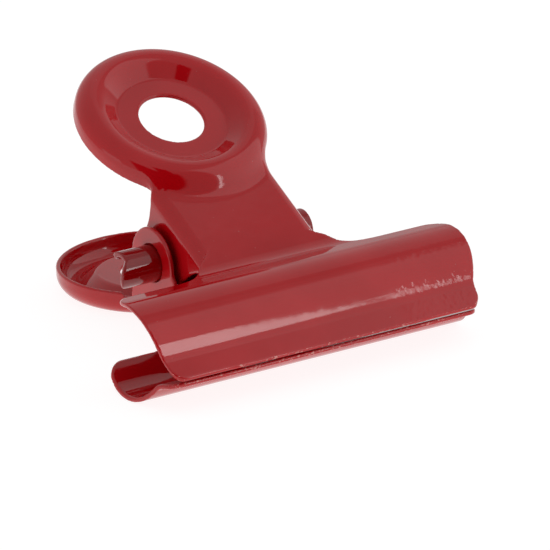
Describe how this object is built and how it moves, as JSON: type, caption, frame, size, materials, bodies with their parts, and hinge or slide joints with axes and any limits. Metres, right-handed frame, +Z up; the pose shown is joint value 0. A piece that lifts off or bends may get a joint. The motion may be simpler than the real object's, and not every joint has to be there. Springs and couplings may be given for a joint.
{
  "type": "binder clip",
  "caption": "Ring-handled spring clip of painted sheet steel: two pressed levers with wide curled jaws and dished finger rings, hinged on a rolled strip spring.",
  "frame": {"origin": "under the middle of the clip's bounding box, on the ground it lies on", "axes": "+X along the hinge, -Y to the jaws, +Y to the finger rings, +Z up; the clip lies on its lower lever"},
  "size_m": [0.0332, 0.0368, 0.0209],
  "materials": {
    "lever_enamel": "glossy",
    "spring_enamel": "glossy"
  },
  "bodies": {
    "lower": {"lower_lever": "lever_enamel", "spring": "spring_enamel"},
    "upper": {"upper_lever": "lever_enamel"}
  },
  "joints": [
    {"name": "lever_pivot", "type": "hinge", "parent": "lower", "child": "upper", "pos_m": [0, -0.00089, 0.00686], "axis": [-1, 0, 0], "range_deg": [0, 45], "stiffness_Nm_per_rad": 0.2, "deforming": ["spring"]}
  ]
}
